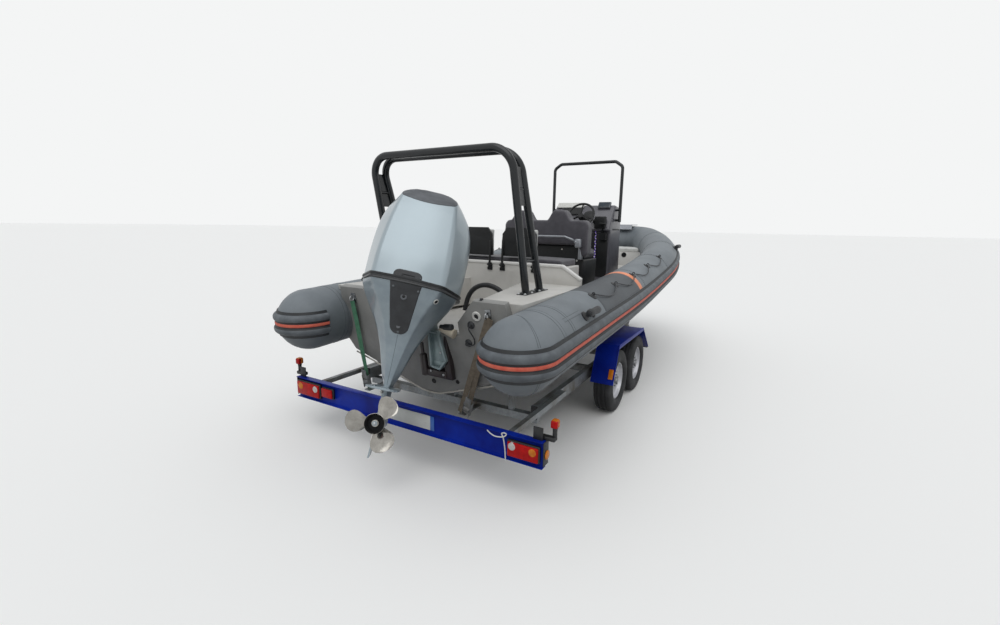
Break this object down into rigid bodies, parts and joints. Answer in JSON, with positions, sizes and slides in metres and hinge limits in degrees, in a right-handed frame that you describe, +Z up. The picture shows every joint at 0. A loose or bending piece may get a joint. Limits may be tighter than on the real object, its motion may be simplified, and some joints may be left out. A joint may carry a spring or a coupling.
{
  "type": "rigid inflatable boat on a twin-axle trailer",
  "caption": "Rigid inflatable boat with console, helm seat, arch and a tilted outboard, parked on a twin-axle road trailer with a light board and jockey wheel.",
  "frame": {"origin": "on the ground below the middle of the outfit's length and beam", "axes": "+X forward to the bow and the coupling, +Y to port, +Z up"},
  "size_m": [7.1393, 2.5702, 2.6939],
  "materials": {
    "tube_cloth": "matt coated cloth",
    "strake_rubber": "matt moulded rubber",
    "fitting_rubber": "matt moulded rubber",
    "hull_paint": "satin",
    "deck_paint": "satin",
    "black_tube": "gloss",
    "seat_vinyl": "matt",
    "pale_vinyl": "matt",
    "seat_shell": "moulded",
    "console_paint": "satin",
    "helm_plastic": "moulded",
    "engine_silver": "metallic paint",
    "engine_trim": "moulded",
    "engine_bracket": "satin",
    "stainless": "polished",
    "hose_rubber": "matt",
    "rope": "braided",
    "strap_webbing": "woven",
    "galvanised": "galvanised",
    "trailer_blue": "gloss",
    "lamp_lens": "moulded lens",
    "plate_white": "gloss",
    "tyre_rubber": "matt",
    "rim_silver": "satin"
  },
  "bodies": {
    "root": {"tube_port": "tube_cloth", "tube_starboard": "tube_cloth", "rub_strakes": "strake_rubber", "tube_fittings": "fitting_rubber", "hull_rollers": "fitting_rubber", "hull_shell": "hull_paint", "transom": "hull_paint", "cockpit_sole": "deck_paint", "side_decks": "deck_paint", "stern_bulkhead": "deck_paint", "stern_bench": "deck_paint", "bow_locker": "deck_paint", "arch_hoops": "black_tube", "arch_fittings": "black_tube", "screen_frame": "black_tube", "helm_grab_rail": "black_tube", "helm_backrest": "seat_vinyl", "seat_cushions": "seat_vinyl", "back_rest_pads": "pale_vinyl", "back_rests": "seat_shell", "helm_seat_base": "seat_shell", "console": "console_paint", "bow_step": "console_paint", "helm_controls": "helm_plastic", "clamp_bracket": "engine_bracket", "transom_eyes": "stainless", "rigging_hose": "hose_rubber", "lifeline_port": "rope", "lifeline_starboard": "rope", "lashing_straps": "strap_webbing", "trailer_frame": "galvanised", "cross_members": "galvanised", "axles": "galvanised", "roller_brackets": "galvanised", "winch_post": "galvanised", "winch": "galvanised", "jockey_sleeve": "galvanised", "coupling_head": "galvanised", "light_board": "trailer_blue", "mudguards": "trailer_blue", "trailer_lamps": "lamp_lens", "number_plate": "plate_white"},
    "engine_swivel": {"swivel_bracket": "engine_bracket"},
    "outboard": {"cowl_upper": "engine_silver", "cowl_trim": "engine_trim", "cowl_lower": "engine_silver", "gearcase": "engine_silver"},
    "prop": {"propeller": "stainless"},
    "helm": {"helm_wheel": "helm_plastic"},
    "jockey": {"jockey_leg": "galvanised"},
    "jockey_roller": {"jockey_wheel": "tyre_rubber"},
    "wheel_rear_port": {"tyre_rear_port": "tyre_rubber", "rim_rear_port": "rim_silver"},
    "wheel_rear_starboard": {"tyre_rear_starboard": "tyre_rubber", "rim_rear_starboard": "rim_silver"},
    "wheel_front_port": {"tyre_front_port": "tyre_rubber", "rim_front_port": "rim_silver"},
    "wheel_front_starboard": {"tyre_front_starboard": "tyre_rubber", "rim_front_starboard": "rim_silver"}
  },
  "joints": [
    {"name": "engine_tilt", "type": "hinge", "parent": "root", "child": "engine_swivel", "pos_m": [-2.743, 0, 1.17], "axis": [0, 1, 0], "range_deg": [-9.5, 45.5]},
    {"name": "engine_steer", "type": "hinge", "parent": "engine_swivel", "child": "outboard", "pos_m": [-2.90006, 0, 1.23506], "axis": [0.3827, 0, 0.9239], "range_deg": [-66, 0]},
    {"name": "propeller_spin", "type": "hinge", "parent": "outboard", "child": "prop", "pos_m": [-3.43282, -0.13616, 0.49674], "axis": [0.7748, 0.5446, -0.3209], "continuous": true},
    {"name": "helm_turn", "type": "hinge", "parent": "root", "child": "helm", "pos_m": [0.327, -0.1, 1.956], "axis": [0.866, 0, -0.5], "range_deg": [0, 1440]},
    {"name": "jockey_slide", "type": "slide", "parent": "root", "child": "jockey", "axis": [0, 0, 1], "range_m": [0, 0.18]},
    {"name": "jockey_spin", "type": "hinge", "parent": "jockey", "child": "jockey_roller", "pos_m": [3.05201, -0.095, 0.11], "axis": [0, 1, 0], "continuous": true},
    {"name": "wheel_rear_port_spin", "type": "hinge", "parent": "root", "child": "wheel_rear_port", "pos_m": [-1.138, 1.0535, 0.312], "axis": [0, 1, 0], "continuous": true},
    {"name": "wheel_rear_starboard_spin", "type": "hinge", "parent": "root", "child": "wheel_rear_starboard", "pos_m": [-1.138, -1.0535, 0.312], "axis": [0, 1, 0], "continuous": true},
    {"name": "wheel_front_port_spin", "type": "hinge", "parent": "root", "child": "wheel_front_port", "pos_m": [-0.423, 1.0535, 0.312], "axis": [0, 1, 0], "continuous": true},
    {"name": "wheel_front_starboard_spin", "type": "hinge", "parent": "root", "child": "wheel_front_starboard", "pos_m": [-0.423, -1.0535, 0.312], "axis": [0, 1, 0], "continuous": true}
  ]
}
